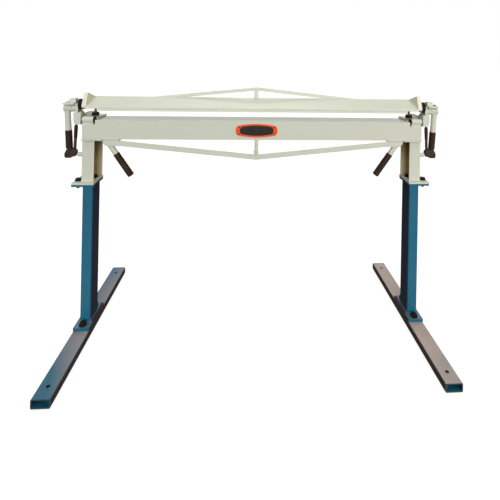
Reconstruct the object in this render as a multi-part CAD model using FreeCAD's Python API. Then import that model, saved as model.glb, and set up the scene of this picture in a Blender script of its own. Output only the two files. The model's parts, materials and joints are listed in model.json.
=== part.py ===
import FreeCAD, Part
import math
import os

# Manual sheet metal brake on a two-post stand, in millimetres. +Z is up, +X is to the right
# and the user stands on the -Y side. The origin is on the floor under the middle of the bed.
# Every side piece is modelled on the right and mirrored to the left.

# Fits shared by the whole machine
running_clearance = 0.05
bolt_clearance = 1.0
seat_gap = 0.3

# Stand
foot_length = 770.0
foot_width = 60.0
foot_height = 30.0
foot_wall = 4.0
foot_corner = 5.0
anchor_spacing = 670.0
anchor_hole = 13.0
base_plate_length = 160.0
base_plate_thickness = 12.0
post_width = 40.0
post_depth = 80.0
post_wall = 3.0
post_corner = 5.0
post_height = 526.0
joint_plate_width = 84.0
joint_plate_depth = 108.0
joint_plate_thickness = 8.0
joint_plate_offset = 15.0

# Bolts of the stand
base_bolt = 14.0
base_bolt_flats = 22.0
base_bolt_spacing = 124.0
joint_bolt = 12.0
joint_bolt_flats = 19.0
joint_bolt_outboard = 43.0
joint_bolt_stagger = 44.0
joint_bolt_inset = 4.0
bolt_head_share = 0.4
washer_thickness = 2.5
washer_flat_share = 1.27

# Bed and head frame
bed_length = 1320.0
foot_inset = 8.0
channel_height = 165.0
channel_flange = 46.0
channel_wall = 5.0
channel_overhang = 4.0
channel_back = 58.0
top_plate_thickness = 6.0
top_plate_length = 77.0
top_plate_overhang = 18.0
top_plate_front = -66.0
top_plate_back = 60.0
bed_beam_height = 62.0
bed_beam_wall = 6.0
bed_beam_front = -32.0
bed_beam_back = 38.0
bed_plate_thickness = 12.0
bed_plate_front = -55.0
bed_plate_back = 45.0
bed_notch_depth = 12.0
bed_notch_gap = 1.0

# Clamp beam
clamp_stroke = 33.0
leaf_end_play = 4.0
leaf_thickness = 8.0
leaf_front = -48.0
leaf_back = 64.0
leaf_rise = 30.5
leaf_front_height = 15.5
leaf_flange_thickness = 6.0
leaf_flange_height = 38.0
nose_setback = 44.0
nose_tip = -53.5
nose_shoulder = -46.0
nose_back = -14.0
end_plate_thickness = 16.0
end_plate_peak = -20.0
end_plate_peak_height = 69.0
end_plate_front_height = 16.0
end_plate_heel = 16.0
end_plate_chin = -38.0
end_plate_foot_height = 8.0
end_plate_front_step = 4.0
end_plate_back_step = 1.0
end_plate_back_drop = 4.0
guide_pin = 10.0
guide_pin_place = 20.0
guide_pin_inset = 12.0
guide_pin_below_bed = 29.0
guide_bush_diameter = 28.0
guide_bush_height = 12.0
clamp_truss_height = 14.0
clamp_truss_thickness = 6.0
clamp_truss_end_lift = 23.0
clamp_truss_rise = 67.0
clamp_truss_end_inset = 14.0
clamp_strut_width = 18.0
clamp_strut_lift = 12.0

# Lug plates and side brackets
lug_gap = 2.0
lug_thickness = 6.0
lug_front = -42.0
lug_back = 61.0
bracket_play = 4.0
bracket_block_width = 26.5
bracket_block_front = -70.0
bracket_block_step = -54.0
bracket_block_top = 28.0
bracket_block_step_top = 9.0
bracket_block_lip = 1.0
bracket_block_low_width = 19.0
bracket_block_low = -2.0
bracket_drop = 17.0
side_plate_thickness = 8.0
web_drop = 20.0
web_below_bed = 1.0
arch_inner = 650.0
arch_front = 44.0
arch_back = 56.0
arch_spring = 8.0
arch_crown = 19.0
arch_fall = 15.0
arch_crown_run = 42.0
bearing_diameter = 28.0
bearing_length = 24.0
keeper_diameter = 17.0
keeper_length = 27.0
keeper_bevel = 2.0
keeper_above_joint = 101.0

# Apron and its hinge
bend_gap = 1.0
apron_thickness = 12.0
apron_height = 73.5
apron_end_play = 3.0
apron_notch = 3.0
apron_notch_depth = 16.0
hinge_pin = 14.0
hinge_barrel = 24.0
hinge_barrel_gap = 8.0
hinge_barrel_overhang = 1.0
hinge_saddle_setback = 5.0
apron_truss_height = 19.5
apron_truss_thickness = 6.0
apron_truss_drop = 58.5
apron_lug_gap = 3.0
apron_truss_end_cut = 9.5
apron_truss_end_square = 5.5
apron_lug_length = 63.0
apron_lug_thickness = 6.0
strut_diameter = 14.0
strut_nut_flats = 19.0
strut_nut_height = 8.0
strut_nut_lift = 6.0
handle_tube = 21.0
handle_tube_wall = 3.0
handle_lean = 35.0
handle_length = 166.0
handle_inset = 11.0
handle_grip = 26.0
handle_grip_length = 104.0
handle_back_step = 4.5
nameplate_width = 165.0
nameplate_height = 53.0
nameplate_thickness = 1.5
nameplate_bulge = 8.0
nameplate_rivet = 5.0
nameplate_rivet_inset = 6.0

# Clamp levers
shaft_diameter = 18.0
shaft_above_bed = 38.0
shaft_place = -12.0
cam_diameter = 42.0
cam_thickness = 18.0
cam_gap = 1.0
crank_pin = 12.0
crank_pin_gap = 1.0
crank_slot_depth = 10.0
hub_diameter = 28.0
hub_gap = 0.5
hub_length = 31.5
lever_tube = 22.0
lever_tube_wall = 3.0
lever_inset = 11.0
lever_lean = 3.8
lever_drop = 158.0
lever_grip = 26.0
lever_grip_length = 71.0
stop_plate_thickness = 6.0
stop_plate_front = -42.0
stop_plate_back = 18.0
stop_plate_inboard = 15.5
stop_plate_setback = 4.0
stop_plate_lift = 17.0
stop_pad_width = 12.0
stop_block_length = 23.0
stop_block_depth = 24.0
stop_block_height = 16.0
stop_screw_flats = 10.0
stop_screw_height = 6.0

# Squeeze triggers
latch_plate_thickness = 3.0
latch_plate_inboard = 13.0
latch_plate_outboard = 16.0
cheek_height = 34.0
cheek_length = 30.0
cheek_corner = 7.5
cheek_side_gap = 0.5
trigger_thickness = 9.0
trigger_pivot_pin = 6.0
trigger_pivot_rise = 10.0
trigger_pivot_inset = 7.0
trigger_reach = 31.0
trigger_lobe_rise = 16.0
trigger_lobe = 8.5
trigger_bump = 5.0
trigger_bar = 11.0
trigger_bar_length = 97.0
trigger_bar_lean = 3.5
trigger_bar_inset = 1.5

# Heights and places that follow from the sizes above
bed_half = bed_length / 2
foot_x = bed_half - foot_inset
base_plate_top = foot_height + base_plate_thickness
post_top = base_plate_top + post_height
joint_face = post_top + joint_plate_thickness
channel_bottom = joint_face + joint_plate_thickness
channel_top = channel_bottom + channel_height
keeper_height = channel_bottom + keeper_above_joint
channel_face = foot_x + post_width / 2 + channel_overhang
beam_bottom = channel_top + top_plate_thickness
beam_top = beam_bottom + bed_beam_height
bed_top = beam_top + bed_plate_thickness
top_plate_outer = foot_x + top_plate_overhang
top_plate_inner = top_plate_outer - top_plate_length

leaf_half = bed_half + leaf_end_play
nose_half = bed_half - nose_setback
end_plate_outer = leaf_half + end_plate_thickness
cam_inner = end_plate_outer + cam_gap
cam_outer = cam_inner + cam_thickness
side_plate_inner = cam_outer + cam_gap
side_plate_outer = side_plate_inner + side_plate_thickness
bearing_outer = side_plate_inner + bearing_length
hub_inner = bearing_outer + hub_gap
hub_outer = hub_inner + hub_length

nose_bottom = bed_top + clamp_stroke
leaf_slope = math.atan2(leaf_rise, leaf_back - leaf_front)
leaf_front_z = nose_bottom + leaf_front_height
leaf_drop = leaf_thickness / math.cos(leaf_slope)
clamp_truss_end = nose_bottom + clamp_truss_end_lift
clamp_truss_apex = clamp_truss_end + clamp_truss_rise
crank_throw = clamp_stroke / 2
shaft_z = bed_top + shaft_above_bed
crank_z = shaft_z + crank_throw
guide_pin_x = bed_half - guide_pin_inset

hinge_y = bed_plate_front - bend_gap
apron_front = hinge_y - apron_thickness
apron_bottom = bed_top - apron_height
apron_truss_apex = apron_bottom - apron_truss_drop
apron_half = leaf_half + apron_end_play
apron_notch_x = nose_half + apron_notch
barrel_inner = apron_notch_x + hinge_barrel_gap
barrel_outer = apron_half + hinge_barrel_overhang
bracket_inner = barrel_outer + bracket_play
apron_lug_outer = top_plate_inner - apron_lug_gap
apron_lug_inner = apron_lug_outer - apron_lug_length
apron_lug_bottom = apron_bottom - apron_lug_thickness

lever_x = hub_outer - lever_inset
lever_bottom = shaft_z - lever_drop
lever_bottom_x = lever_x - lever_drop * math.tan(math.radians(lever_lean))
latch_bottom = lever_bottom - latch_plate_thickness
cheek_bottom = latch_bottom - cheek_height
cheek_outer = lever_bottom_x + latch_plate_outboard
trigger_pivot_x = cheek_outer - trigger_pivot_inset
trigger_pivot_z = cheek_bottom + trigger_pivot_rise
trigger_lobe_x = trigger_pivot_x - trigger_reach
trigger_lobe_z = trigger_pivot_z + trigger_lobe_rise


def vector(x, y, z):
    return FreeCAD.Vector(x, y, z)


def box(x0, x1, y0, y1, z0, z1):
    return Part.makeBox(x1 - x0, y1 - y0, z1 - z0, vector(x0, y0, z0))


def rod(diameter, start, end):
    along = end.sub(start)
    return Part.makeCylinder(diameter / 2, along.Length, start, along)


def upright_rod(diameter, x, y, z0, z1):
    return rod(diameter, vector(x, y, z0), vector(x, y, z1))


def cross_rod(diameter, y, z, x0, x1):
    return rod(diameter, vector(x0, y, z), vector(x1, y, z))


def front_rod(diameter, x, z, y0, y1):
    return rod(diameter, vector(x, y0, z), vector(x, y1, z))


def solid_from(points, along):
    wire = Part.makePolygon(points + [points[0]])
    return Part.Face(wire).extrude(along)


def side_profile(outline, x0, x1):
    """A plate whose outline lies in the YZ plane, from x0 to x1."""
    points = [vector(x0, y, z) for y, z in outline]
    return solid_from(points, vector(x1 - x0, 0, 0))


def front_profile(outline, y0, y1):
    """A plate whose outline lies in the XZ plane, from y0 to y1."""
    points = [vector(x, y0, z) for x, z in outline]
    return solid_from(points, vector(0, y1 - y0, 0))


def joined(first, *others):
    shape = first
    for other in others:
        shape = shape.fuse(other)
    return shape.removeSplitter()


def without(shape, *cuts):
    for cut in cuts:
        shape = shape.cut(cut)
    return shape


def edges_along(shape, direction):
    """The straight edges of a shape that run along one axis."""
    found = []
    for edge in shape.Edges:
        run = edge.Vertexes[-1].Point.sub(edge.Vertexes[0].Point)
        if run.Length > 0 and abs(run.dot(direction)) > run.Length * math.cos(math.radians(1)):
            found.append(edge)
    return found


def rounded_along(shape, direction, radius):
    return shape.makeFillet(radius, edges_along(shape, direction))


def hex_prism(flats, x, y, z0, z1):
    corner = flats / 2 / math.cos(math.radians(30))
    points = []
    for step in range(6):
        turn = math.radians(30 + 60 * step)
        points.append(vector(x + corner * math.cos(turn), y + corner * math.sin(turn), z0))
    return solid_from(points, vector(0, 0, z1 - z0))


def upright_bolt(diameter, flats, x, y, low, high):
    """Head and washer above a joint, shank through it, washer and nut below it."""
    head = flats * bolt_head_share
    washer = flats * washer_flat_share
    return joined(
        upright_rod(washer, x, y, high, high + washer_thickness),
        hex_prism(flats, x, y, high + washer_thickness, high + washer_thickness + head),
        upright_rod(diameter, x, y, low, high),
        hex_prism(flats, x, y, low - head, low),
    )


def mirrored(shape):
    return shape.mirror(vector(0, 0, 0), vector(1, 0, 0))


def save(name, shape):
    if not shape.isValid():
        raise ValueError(name + " is not a valid solid")
    shape.exportStep("parts/" + name + ".step")
    print(name, len(shape.Solids), round(shape.Volume))


def save_pair(name, right):
    save(name + "_right", right)
    save(name + "_left", mirrored(right))


def save_both(name, right):
    """One node with the same small piece on both sides."""
    save(name, Part.makeCompound(right.Solids + mirrored(right).Solids))


# Stand

def foot():
    outer = box(
        foot_x - foot_width / 2, foot_x + foot_width / 2,
        -foot_length / 2, foot_length / 2,
        0, foot_height,
    )
    inner = box(
        foot_x - foot_width / 2 + foot_wall, foot_x + foot_width / 2 - foot_wall,
        -foot_length / 2, foot_length / 2,
        foot_wall, foot_height - foot_wall,
    )
    length = vector(0, 1, 0)
    tube = without(
        rounded_along(outer, length, foot_corner),
        rounded_along(inner, length, foot_corner - foot_wall),
    )
    for side in (-1, 1):
        tube = tube.cut(
            upright_rod(anchor_hole, foot_x, side * anchor_spacing / 2, 0, foot_height)
        )
        tube = tube.cut(
            upright_rod(
                base_bolt + bolt_clearance, foot_x, side * base_bolt_spacing / 2,
                foot_height - foot_wall, foot_height,
            )
        )
    return tube


def base_plate():
    plate = box(
        foot_x - foot_width / 2, foot_x + foot_width / 2,
        -base_plate_length / 2, base_plate_length / 2,
        foot_height, base_plate_top,
    )
    for side in (-1, 1):
        plate = plate.cut(
            upright_rod(
                base_bolt + bolt_clearance, foot_x, side * base_bolt_spacing / 2,
                foot_height, base_plate_top,
            )
        )
    return plate


def base_bolts():
    bolts = [
        upright_bolt(
            base_bolt, base_bolt_flats, foot_x, side * base_bolt_spacing / 2,
            foot_height - foot_wall, base_plate_top,
        )
        for side in (-1, 1)
    ]
    return Part.makeCompound(bolts)


def post():
    outer = box(
        foot_x - post_width / 2, foot_x + post_width / 2,
        -post_depth / 2, post_depth / 2,
        base_plate_top, post_top,
    )
    inner = box(
        foot_x - post_width / 2 + post_wall, foot_x + post_width / 2 - post_wall,
        -post_depth / 2 + post_wall, post_depth / 2 - post_wall,
        base_plate_top, post_top,
    )
    length = vector(0, 0, 1)
    return without(
        rounded_along(outer, length, post_corner),
        rounded_along(inner, length, post_corner - post_wall),
    )


def joint_bolt_places():
    """The front bolt stands outside the post and the rear bolt comes down inside it."""
    return [
        (foot_x + joint_bolt_outboard, -joint_bolt_stagger / 2),
        (foot_x - joint_bolt_inset, joint_bolt_stagger / 2),
    ]


def joint_plate(bottom):
    middle = foot_x + joint_plate_offset
    plate = box(
        middle - joint_plate_width / 2, middle + joint_plate_width / 2,
        -joint_plate_depth / 2, joint_plate_depth / 2,
        bottom, bottom + joint_plate_thickness,
    )
    for x, y in joint_bolt_places():
        plate = plate.cut(
            upright_rod(joint_bolt + bolt_clearance, x, y, bottom, bottom + joint_plate_thickness)
        )
    return plate


def joint_bolts():
    bolts = [
        upright_bolt(joint_bolt, joint_bolt_flats, x, y, post_top, channel_bottom)
        for x, y in joint_bolt_places()
    ]
    return Part.makeCompound(bolts)


# Head frame and bed

def head_channel():
    back = channel_face - channel_wall
    mouth = channel_face - channel_flange
    outer = box(mouth, channel_face, -post_depth / 2, channel_back, channel_bottom, channel_top)
    hollow = box(
        mouth, back,
        -post_depth / 2 + channel_wall, channel_back - channel_wall,
        channel_bottom, channel_top,
    )
    return outer.cut(hollow)


def keeper_pin():
    tip = channel_face + keeper_length
    pin = cross_rod(keeper_diameter, shaft_place, keeper_height, channel_face, tip)
    outer_rim = [edge for edge in pin.Edges if edge.CenterOfMass.x > tip - keeper_bevel]
    return pin.makeChamfer(keeper_bevel, outer_rim)


def top_plate():
    return box(
        top_plate_inner, top_plate_outer,
        top_plate_front, top_plate_back,
        channel_top, beam_bottom,
    )


def bed_beam():
    beam = without(
        box(-bed_half, bed_half, bed_beam_front, bed_beam_back, beam_bottom, beam_top),
        box(
            -bed_half, bed_half,
            bed_beam_front + bed_beam_wall, bed_beam_back,
            beam_bottom + bed_beam_wall, beam_top - bed_beam_wall,
        ),
    )
    for side in (-1, 1):
        beam = beam.cut(guide_hole(side, beam_top - bed_beam_wall, beam_top))
    return beam


def guide_hole(side, low, high):
    return upright_rod(
        guide_pin + 2 * bolt_clearance, side * guide_pin_x, guide_pin_place, low, high
    )


def bed_plate():
    plate = box(
        -bed_half, bed_half, bed_plate_front, bed_plate_back, beam_top, bed_top
    )
    for side in (-1, 1):
        inner = side * (nose_half + bed_notch_gap)
        outer = side * bed_half
        plate = plate.cut(
            box(
                min(inner, outer), max(inner, outer),
                bed_plate_front, bed_plate_front + bed_notch_depth,
                beam_top, bed_top,
            )
        )
        plate = plate.cut(guide_hole(side, beam_top, bed_top))
    return plate


def lug_plate():
    """Flat plate on the end of the bed."""
    plate = box(
        nose_half + lug_gap, bracket_inner, lug_front, lug_back, bed_top, bed_top + lug_thickness
    )
    return plate.cut(guide_hole(1, bed_top, bed_top + lug_thickness))


def guide_bush():
    bottom = bed_top + lug_thickness
    top = bottom + guide_bush_height
    bush = upright_rod(guide_bush_diameter, guide_pin_x, guide_pin_place, bottom, top)
    bore = upright_rod(
        guide_pin + 2 * running_clearance, guide_pin_x, guide_pin_place, bottom, top
    )
    return bush.cut(bore)


def bracket_block():
    """Holds the hinge pin; stepped in front and sloped behind to clear the end plate."""
    step = bed_top + bracket_block_low
    upper = side_profile(
        [
            (bracket_block_front, step),
            (lug_front, step),
            (lug_front, bed_top + bracket_block_step_top),
            (bracket_block_step, bed_top + bracket_block_top - bracket_block_lip),
            (bracket_block_step, bed_top + bracket_block_top),
            (bracket_block_front, bed_top + bracket_block_top),
        ],
        bracket_inner,
        bracket_inner + bracket_block_width,
    )
    lower = box(
        bracket_inner, bracket_inner + bracket_block_low_width,
        bracket_block_front, lug_front,
        bed_top - bracket_drop, step,
    )
    return joined(upper, lower)


def bracket_side():
    """Upright plate outside the cam, narrowing up to the bearing."""
    low = bed_top - web_drop
    front = shaft_place - bearing_diameter / 2
    return side_profile(
        [
            (front, low),
            (arch_back, low),
            (arch_back, bed_top + lug_thickness),
            (shaft_place + bearing_diameter / 2, shaft_z),
            (front, shaft_z),
        ],
        side_plate_inner,
        side_plate_outer,
    )


def bracket_arch():
    """Curved wall behind the cam, from the side plate over the lug plate."""
    seat = bed_top + lug_thickness
    low = bed_top - web_drop
    crown_x = arch_inner + arch_crown_run
    curve = Part.Arc(
        vector(arch_inner, arch_front, seat + arch_spring),
        vector((arch_inner + crown_x) / 2, arch_front, bed_top + arch_crown),
        vector(side_plate_outer, arch_front, bed_top + arch_crown - arch_fall),
    ).toShape()
    corners = [
        vector(side_plate_outer, arch_front, bed_top + arch_crown - arch_fall),
        vector(side_plate_outer, arch_front, low),
        vector(bracket_inner, arch_front, low),
        vector(bracket_inner, arch_front, seat),
        vector(arch_inner, arch_front, seat),
        vector(arch_inner, arch_front, seat + arch_spring),
    ]
    wire = Part.Wire([curve] + Part.makePolygon(corners).Edges)
    return Part.Face(wire).extrude(vector(0, arch_back - arch_front, 0))


def side_bracket():
    """Carries the hinge pin in front and the lever's bearing above."""
    web = box(
        bed_half, side_plate_outer, lug_front, arch_back,
        bed_top - web_drop, bed_top - web_below_bed,
    )
    bearing = cross_rod(bearing_diameter, shaft_place, shaft_z, side_plate_inner, bearing_outer)
    bore = cross_rod(
        shaft_diameter + 2 * running_clearance, shaft_place, shaft_z, side_plate_inner, bearing_outer
    )
    pin_hole = cross_rod(
        hinge_pin, hinge_y, bed_top, bracket_inner, bracket_inner + bracket_block_width
    )
    return without(
        joined(bracket_block(), bracket_side(), bracket_arch(), web, bearing), bore, pin_hole
    )


def hinge_pins():
    return cross_rod(
        hinge_pin, hinge_y, bed_top, barrel_inner, bracket_inner + bracket_block_width
    )


# Apron

def apron_plate():
    plate = box(-apron_half, apron_half, apron_front, hinge_y, apron_bottom, bed_top)
    for side in (-1, 1):
        inner = side * apron_notch_x
        outer = side * apron_half
        plate = plate.cut(
            box(
                min(inner, outer), max(inner, outer), apron_front, hinge_y,
                bed_top - apron_notch_depth, bed_top,
            )
        )
    return plate


def hinge_barrel_piece():
    """Hinge barrel on a saddle that stands in the corner notch of the apron."""
    barrel = cross_rod(hinge_barrel, hinge_y, bed_top, barrel_inner, barrel_outer)
    saddle = box(
        barrel_inner, apron_half,
        apron_front + hinge_saddle_setback, hinge_y,
        bed_top - apron_notch_depth, bed_top,
    )
    bore = cross_rod(
        hinge_pin + 2 * running_clearance, hinge_y, bed_top, barrel_inner, barrel_outer
    )
    return joined(barrel, saddle).cut(bore)


def apron_lug():
    return box(
        apron_lug_inner, apron_lug_outer,
        apron_front, handle_y() + handle_tube / 2,
        apron_lug_bottom, apron_bottom,
    )


def handle_y():
    """The handles stand just behind the plane of the apron."""
    return hinge_y + handle_back_step


def apron_truss():
    """Flat bar from the lug down to the middle, bent level under the lug."""
    end_low = apron_lug_bottom - apron_truss_height
    outline = [
        (0, apron_truss_apex - apron_truss_height),
        (apron_lug_inner, end_low),
        (apron_lug_outer - apron_truss_end_cut, end_low),
        (apron_lug_outer, apron_lug_bottom - apron_truss_end_square),
        (apron_lug_outer, apron_lug_bottom),
        (apron_lug_inner, apron_lug_bottom),
        (0, apron_truss_apex),
    ]
    return front_profile(outline, apron_front, apron_front + apron_truss_thickness)


def apron_strut():
    """Round strut with a hexagon at the top and a nut above the truss bars."""
    y = apron_front + apron_truss_thickness / 2
    nut_low = apron_truss_apex + strut_nut_lift
    strut = joined(
        upright_rod(strut_diameter, 0, y, apron_truss_apex, apron_bottom),
        hex_prism(strut_nut_flats, 0, y, nut_low, nut_low + strut_nut_height),
        Part.makeCone(
            strut_diameter / 2, strut_nut_flats / 2, strut_nut_height,
            vector(0, y, apron_bottom - strut_nut_height),
        ),
    )
    bars = apron_truss()
    return without(strut, bars, mirrored(bars), box(
        -apron_half, apron_half, apron_front - apron_thickness, apron_front,
        apron_bottom - strut_nut_height, apron_bottom,
    ))


def handle_ends():
    """Both ends of a handle's middle line: under the lug, and low towards the middle."""
    top = vector(apron_lug_outer - handle_inset, handle_y(), apron_lug_bottom)
    lean = math.radians(handle_lean)
    run = vector(-math.sin(lean), 0, -math.cos(lean))
    return top, run


def under_lug(shape):
    """Cuts a handle's slanted end level with the underside of its lug."""
    return shape.cut(
        box(
            apron_lug_inner - handle_length, apron_lug_outer + handle_length,
            handle_y() - handle_grip, handle_y() + handle_grip,
            apron_lug_bottom, apron_bottom + handle_length,
        )
    )


def handle_tube_piece():
    top, run = handle_ends()
    start = top - run * handle_tube
    end = top + run * handle_length
    tube = rod(handle_tube, start, end)
    hollow = rod(handle_tube - 2 * handle_tube_wall, start, end)
    return under_lug(tube.cut(hollow))


def handle_grip_piece():
    top, run = handle_ends()
    end = top + run * (handle_length + handle_tube_wall)
    start = end - run * handle_grip_length
    grip = rod(handle_grip, start, end)
    hollow = rod(handle_tube, start, top + run * handle_length)
    tip = [edge for edge in grip.Edges if (edge.CenterOfMass - end).Length < handle_tube_wall]
    return grip.makeFillet(handle_tube_wall, tip).cut(hollow)


def nameplate():
    """Plain badge whose four sides bulge outwards."""
    middle = (apron_bottom + bed_top) / 2
    half_width = nameplate_width / 2
    half_height = nameplate_height / 2
    back = apron_front
    low = middle - half_height + nameplate_bulge
    high = middle + half_height - nameplate_bulge
    left = -half_width + nameplate_bulge
    right = half_width - nameplate_bulge
    corners = [
        vector(left, back, low), vector(right, back, low),
        vector(right, back, high), vector(left, back, high),
    ]
    bulges = [
        vector(0, back, middle - half_height), vector(half_width, back, middle),
        vector(0, back, middle + half_height), vector(-half_width, back, middle),
    ]
    sides = [
        Part.Arc(corners[step], bulges[step], corners[(step + 1) % 4]).toShape()
        for step in range(4)
    ]
    face = Part.Face(Part.Wire(sides))
    return face.extrude(vector(0, -nameplate_thickness, 0))


def nameplate_rivets():
    middle = (apron_bottom + bed_top) / 2
    x = nameplate_width / 2 - nameplate_bulge - nameplate_rivet_inset
    z = nameplate_height / 2 - nameplate_bulge - nameplate_rivet_inset
    front = apron_front - nameplate_thickness
    rivets = []
    for side in (-1, 1):
        for level in (-1, 1):
            head = Part.makeSphere(nameplate_rivet / 2, vector(side * x, front, middle + level * z))
            room = box(
                side * x - nameplate_rivet, side * x + nameplate_rivet,
                front - nameplate_rivet, front,
                middle + level * z - nameplate_rivet, middle + level * z + nameplate_rivet,
            )
            rivets.append(head.common(room))
    return Part.makeCompound(rivets)


# Clamp beam

def leaf_top_at(y):
    return leaf_front_z + (y - leaf_front) * math.tan(leaf_slope)


def leaf_under_at(y):
    return leaf_top_at(y) - leaf_drop


def clamp_leaf():
    """Sloped plate that turns down into a flange along its rear edge."""
    square_cut = leaf_thickness * math.sin(leaf_slope)
    flange_front = leaf_back - leaf_flange_thickness
    flange_bottom = leaf_top_at(leaf_back) - leaf_flange_height
    outline = [
        (leaf_front, leaf_top_at(leaf_front)),
        (leaf_front + square_cut, leaf_under_at(leaf_front + square_cut)),
        (flange_front, leaf_under_at(flange_front)),
        (flange_front, flange_bottom),
        (leaf_back, flange_bottom),
        (leaf_back, leaf_top_at(leaf_back)),
    ]
    return side_profile(outline, -leaf_half, leaf_half)


def nose_bar():
    """Wedge that presses the sheet, bevelled in front so that the apron can close on it."""
    outline = [
        (nose_tip, nose_bottom),
        (nose_back, nose_bottom),
        (nose_back, leaf_under_at(nose_back)),
        (nose_shoulder, leaf_under_at(nose_shoulder)),
    ]
    return side_profile(outline, -nose_half, nose_half)


def end_plate():
    foot_z = nose_bottom + end_plate_foot_height
    outline = [
        (leaf_front + end_plate_front_step, nose_bottom + end_plate_front_height),
        (end_plate_peak, nose_bottom + end_plate_peak_height),
        (leaf_back, leaf_top_at(leaf_back) - end_plate_back_step),
        (leaf_back, leaf_under_at(leaf_back) - end_plate_back_drop),
        (end_plate_heel, foot_z),
        (end_plate_chin, foot_z),
    ]
    plate = side_profile(outline, leaf_half, end_plate_outer)
    return plate.cut(crank_slot())


def crank_slot():
    """Long enough for the pin's half circle and high enough for its uneven lift."""
    steepest = math.asin(2 / math.pi)
    uneven = crank_throw * abs(2 * steepest / math.pi - (1 - math.cos(steepest)))
    radius = crank_pin / 2 + uneven + seat_gap
    reach = crank_throw + crank_pin / 2 + seat_gap - radius
    floor = end_plate_outer - crank_slot_depth
    ends = [
        cross_rod(2 * radius, shaft_place + side * reach, crank_z, floor, end_plate_outer)
        for side in (-1, 1)
    ]
    middle = box(
        floor, end_plate_outer, shaft_place - reach, shaft_place + reach,
        crank_z - radius, crank_z + radius,
    )
    return joined(middle, *ends)


def guide_pins():
    bottom = bed_top - guide_pin_below_bed
    inside_leaf = leaf_under_at(guide_pin_place) + leaf_drop / 3
    pin = upright_rod(guide_pin, guide_pin_x, guide_pin_place, bottom, inside_leaf)
    return pin.cut(clamp_leaf())


def clamp_truss():
    outer = leaf_half - clamp_truss_end_inset
    outline = [
        (0, clamp_truss_apex - clamp_truss_height),
        (outer, clamp_truss_end - clamp_truss_height),
        (outer, clamp_truss_end),
        (0, clamp_truss_apex),
    ]
    return front_profile(outline, leaf_back, leaf_back + clamp_truss_thickness)


def clamp_strut():
    low = leaf_top_at(leaf_back) - leaf_flange_height + clamp_strut_lift
    post_shape = box(
        -clamp_strut_width / 2, clamp_strut_width / 2,
        leaf_back, leaf_back + clamp_truss_thickness,
        low, clamp_truss_apex,
    )
    above = front_profile(
        [
            (-leaf_half, clamp_truss_apex + leaf_half),
            (-leaf_half, clamp_truss_end - clamp_truss_height),
            (0, clamp_truss_apex - clamp_truss_height),
            (leaf_half, clamp_truss_end - clamp_truss_height),
            (leaf_half, clamp_truss_apex + leaf_half),
        ],
        leaf_back, leaf_back + clamp_truss_thickness,
    )
    return post_shape.cut(above).cut(clamp_truss()).cut(mirrored(clamp_truss()))


# Clamp levers

def cam_shaft():
    """Shaft through the bearing, cam beside it and crank pin in the end plate's slot."""
    pin_end = end_plate_outer - crank_slot_depth + crank_pin_gap
    return joined(
        cross_rod(shaft_diameter, shaft_place, shaft_z, cam_outer, hub_outer),
        cross_rod(cam_diameter, shaft_place, crank_z, cam_inner, cam_outer),
        cross_rod(crank_pin, shaft_place, crank_z, pin_end, cam_inner),
    )


def lever_run():
    lean = math.radians(lever_lean)
    return vector(-math.sin(lean), 0, -math.cos(lean))


def lever_point(z):
    """The point of the lever's middle line at a height."""
    drop = shaft_z - z
    return vector(lever_x - drop * math.tan(math.radians(lever_lean)), shaft_place, z)


def above_lever_end(shape):
    """Cuts a leaning tube level at the lever's lower end."""
    return shape.cut(
        box(
            lever_bottom_x - lever_drop, lever_x + lever_drop,
            shaft_place - lever_drop, shaft_place + lever_drop,
            lever_bottom - lever_drop, lever_bottom,
        )
    )


def lever_piece():
    low = lever_point(lever_bottom - lever_tube)
    hub = cross_rod(hub_diameter, shaft_place, shaft_z, hub_inner, hub_outer)
    tube = rod(lever_tube, low, lever_point(shaft_z))
    hollow = rod(
        lever_tube - 2 * lever_tube_wall, low, lever_point(shaft_z - hub_diameter / 2 - lever_tube_wall)
    )
    pad = box(
        hub_inner, hub_outer,
        shaft_place - stop_pad_width / 2, shaft_place + stop_pad_width / 2,
        shaft_z, shaft_z + stop_plate_lift,
    )
    bore = cross_rod(shaft_diameter, shaft_place, shaft_z, hub_inner, hub_outer)
    return above_lever_end(joined(hub, tube, pad).cut(hollow).cut(bore))


def lever_grip_piece():
    top = lever_point(lever_bottom + lever_grip_length)
    low = lever_point(lever_bottom - lever_grip)
    grip = rod(lever_grip, low, top)
    hollow = rod(lever_tube, low, top)
    return above_lever_end(grip.cut(hollow))


def stop_plate():
    """Plate over the hub with a block and its screw on top."""
    low = shaft_z + stop_plate_lift
    high = low + stop_plate_thickness
    plate = box(
        hub_inner - stop_plate_inboard, hub_outer - stop_plate_setback,
        stop_plate_front, stop_plate_back, low, high,
    )
    block_inner = hub_inner - stop_plate_inboard
    block_outer = block_inner + stop_block_length
    block = box(
        block_inner, block_outer,
        shaft_place - stop_block_depth / 2, shaft_place + stop_block_depth / 2,
        high, high + stop_block_height,
    )
    screw = cross_rod(
        stop_screw_flats, shaft_place, high + stop_block_height / 2,
        block_outer, block_outer + stop_screw_height,
    )
    return joined(plate, block, screw)


def latch_bracket():
    """Plate under the lever with two cheeks and the trigger's pivot pin."""
    plate_inner = lever_bottom_x - latch_plate_inboard
    outer_half = trigger_thickness / 2 + cheek_side_gap + latch_plate_thickness
    inner_half = trigger_thickness / 2 + cheek_side_gap
    plate = box(
        plate_inner, cheek_outer,
        shaft_place - outer_half, shaft_place + outer_half,
        latch_bottom, lever_bottom,
    )
    pieces = [plate]
    for side in (-1, 1):
        near = shaft_place + side * inner_half
        far = shaft_place + side * outer_half
        cheek = box(
            cheek_outer - cheek_length, cheek_outer, min(near, far), max(near, far),
            cheek_bottom, latch_bottom,
        )
        pieces.append(rounded_along_bottom(cheek))
    pieces.append(
        front_rod(
            trigger_pivot_pin, trigger_pivot_x, trigger_pivot_z,
            shaft_place - outer_half, shaft_place + outer_half,
        )
    )
    return joined(*pieces)


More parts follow.
